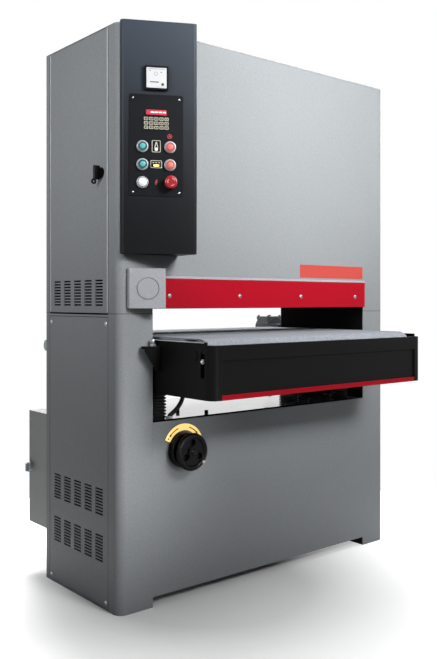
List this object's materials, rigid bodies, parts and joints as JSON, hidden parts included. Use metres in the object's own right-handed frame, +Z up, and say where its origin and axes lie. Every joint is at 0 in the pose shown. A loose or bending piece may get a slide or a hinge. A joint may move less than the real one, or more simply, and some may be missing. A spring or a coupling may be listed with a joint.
{
  "type": "wide belt sander",
  "caption": "Floor-standing wide belt sander with a sanding belt over a contact drum, a rising conveyor table below it and an angled control box.",
  "frame": {"origin": "on the floor, in the middle of the four anchor holes", "axes": "+Z up, +X to the operator's right, the operator stands at -Y and boards travel along +Y"},
  "size_m": [1.276, 0.9515, 1.8],
  "materials": {
    "silver_grey_paint": "metallic powder coat, satin",
    "light_grey_paint": "satin paint",
    "box_grey_paint": "satin paint",
    "black_paint": "semi-gloss black paint",
    "control_black": "satin black",
    "red_paint": "satin red paint",
    "bare_steel": "machined",
    "roller_aluminium": "turned",
    "bezel_chrome": "polished",
    "cast_housing": "painted casting",
    "black_rubber": "matt",
    "conveyor_rubber": "rough-topped, light blue-grey",
    "abrasive_cloth": "coated abrasive",
    "meter_white": "satin",
    "lamp_white": "milky",
    "grey_plastic": "satin",
    "green_plastic": "glossy",
    "red_plastic": "glossy"
  },
  "bodies": {
    "cabinet": {"left_column": "silver_grey_paint", "right_column": "silver_grey_paint", "left_frame_plate": "black_paint", "right_frame_plate": "black_paint", "front_apron": "silver_grey_paint", "rear_apron": "silver_grey_paint", "base_deck": "light_grey_paint", "left_service_panel": "silver_grey_paint", "right_service_panel": "silver_grey_paint", "head_front_panel": "silver_grey_paint", "head_rear_panel": "silver_grey_paint", "head_top_cover": "silver_grey_paint", "right_head_cover": "silver_grey_paint", "control_box": "control_black", "control_plate": "control_black", "ammeter": "meter_white", "button_bezels": "bezel_chrome", "pilot_lamp": "lamp_white", "bar_end_housing": "light_grey_paint", "guard_bar": "red_paint", "cross_beams": "black_paint", "roller_blocks": "black_paint", "cantilever_beam": "black_paint", "drum_bearings": "bare_steel", "dust_hood": "box_grey_paint", "sanding_belt": "abrasive_cloth", "main_motor": "cast_housing", "drive_belt": "black_rubber", "electrical_box": "box_grey_paint", "air_regulator": "grey_plastic", "screw_jacks": "cast_housing", "lift_gearbox": "black_paint", "screw_bellows": "black_rubber", "flexible_conduit": "black_rubber"},
    "table": {"table_frame": "black_paint", "bed_plate": "bare_steel", "front_cover": "black_paint", "front_trim": "red_paint", "conveyor_belt": "conveyor_rubber", "lift_screws": "bare_steel", "feed_motor": "cast_housing", "limit_bracket": "black_paint"},
    "handwheel": {"handwheel": "control_black"},
    "feed_drive_roller": {"feed_drive_roller": "bare_steel"},
    "feed_idler_roller": {"feed_idler_roller": "bare_steel"},
    "contact_drum": {"contact_drum": "black_rubber"},
    "tension_roller": {"tension_roller": "roller_aluminium"},
    "tracking_yoke": {"tracking_yoke": "black_paint"},
    "motor_pulley": {"motor_pulley": "bare_steel"},
    "infeed_roller": {"infeed_roller": "black_rubber"},
    "outfeed_roller": {"outfeed_roller": "black_rubber"},
    "left_door": {"left_door": "silver_grey_paint"},
    "door_latch": {"door_latch": "control_black"},
    "drum_start_button": {"drum_start_button": "green_plastic"},
    "drum_stop_button": {"drum_stop_button": "red_plastic"},
    "feed_start_button": {"feed_start_button": "green_plastic"},
    "feed_stop_button": {"feed_stop_button": "red_plastic"},
    "emergency_stop": {"emergency_stop": "red_plastic"},
    "main_switch_knob": {"main_switch_knob": "grey_plastic"},
    "electrical_door": {"electrical_door": "box_grey_paint"}
  },
  "joints": [
    {"name": "table_lift", "type": "slide", "parent": "cabinet", "child": "table", "axis": [0, 0, 1], "range_m": [-0.055, 0.084], "deforming": ["screw_bellows", "flexible_conduit"]},
    {"name": "handwheel_turn", "type": "hinge", "parent": "cabinet", "child": "handwheel", "pos_m": [-0.385, -0.25, 0.478], "axis": [0, -1, 0], "range_deg": [-1985, 3030]},
    {"name": "feed_drive_spin", "type": "hinge", "parent": "table", "child": "feed_drive_roller", "pos_m": [0, 0.266, 0.793], "axis": [1, 0, 0], "continuous": true},
    {"name": "feed_idler_spin", "type": "hinge", "parent": "table", "child": "feed_idler_roller", "pos_m": [0, -0.425, 0.793], "axis": [1, 0, 0], "continuous": true},
    {"name": "drum_spin", "type": "hinge", "parent": "cabinet", "child": "contact_drum", "pos_m": [0, -0.04, 1.0065], "axis": [1, 0, 0], "continuous": true},
    {"name": "motor_spin", "type": "hinge", "parent": "cabinet", "child": "motor_pulley", "pos_m": [0.5, 0.04, 0.26], "axis": [1, 0, 0], "continuous": true},
    {"name": "belt_tracking", "type": "hinge", "parent": "cabinet", "child": "tracking_yoke", "pos_m": [0, -0.04, 1.42], "axis": [0, 0, 1], "range_deg": [-1.5, 1.5], "deforming": ["sanding_belt"]},
    {"name": "tension_roller_spin", "type": "hinge", "parent": "tracking_yoke", "child": "tension_roller", "pos_m": [0, -0.04, 1.5565], "axis": [1, 0, 0], "continuous": true},
    {"name": "infeed_roller_spin", "type": "hinge", "parent": "cabinet", "child": "infeed_roller", "pos_m": [0, -0.158, 0.959], "axis": [1, 0, 0], "continuous": true},
    {"name": "outfeed_roller_spin", "type": "hinge", "parent": "cabinet", "child": "outfeed_roller", "pos_m": [0, 0.078, 0.959], "axis": [1, 0, 0], "continuous": true},
    {"name": "left_door_hinge", "type": "hinge", "parent": "cabinet", "child": "left_door", "pos_m": [-0.619, 0.1965, 1.3575], "axis": [0, 0, -1], "range_deg": [0, 100]},
    {"name": "door_latch_turn", "type": "hinge", "parent": "left_door", "child": "door_latch", "pos_m": [-0.625, -0.13, 1.3525], "axis": [1, 0, 0], "range_deg": [0, 90]},
    {"name": "drum_start_press", "type": "slide", "parent": "cabinet", "child": "drum_start_button", "axis": [0.4661, 0.8847, 0], "range_m": [0, 0.004], "stiffness_N_per_m": 600, "springref_m": -0.002},
    {"name": "drum_stop_press", "type": "slide", "parent": "cabinet", "child": "drum_stop_button", "axis": [0.4661, 0.8847, 0], "range_m": [0, 0.004], "stiffness_N_per_m": 600, "springref_m": -0.002},
    {"name": "feed_start_press", "type": "slide", "parent": "cabinet", "child": "feed_start_button", "axis": [0.4661, 0.8847, 0], "range_m": [0, 0.004], "stiffness_N_per_m": 600, "springref_m": -0.002},
    {"name": "feed_stop_press", "type": "slide", "parent": "cabinet", "child": "feed_stop_button", "axis": [0.4661, 0.8847, 0], "range_m": [0, 0.004], "stiffness_N_per_m": 600, "springref_m": -0.002},
    {"name": "emergency_stop_press", "type": "slide", "parent": "cabinet", "child": "emergency_stop", "axis": [0.4661, 0.8847, 0], "range_m": [0, 0.004]},
    {"name": "main_switch_turn", "type": "hinge", "parent": "cabinet", "child": "main_switch_knob", "pos_m": [-0.585, 0.42, 0.347], "axis": [-1, 0, 0], "range_deg": [0, 90]},
    {"name": "electrical_door_hinge", "type": "hinge", "parent": "cabinet", "child": "electrical_door", "pos_m": [-0.18, 0.4365, 0.3485], "axis": [0, 0, -1], "range_deg": [0, 110]}
  ],
  "couplings": [
    {"joint": "handwheel_turn", "follows": "table_lift", "rad_per_m": 628.32},
    {"joint": "feed_idler_spin", "follows": "feed_drive_spin", "ratio": 1},
    {"joint": "motor_spin", "follows": "drum_spin", "ratio": 0.78571},
    {"joint": "tension_roller_spin", "follows": "drum_spin", "ratio": 1.25}
  ]
}
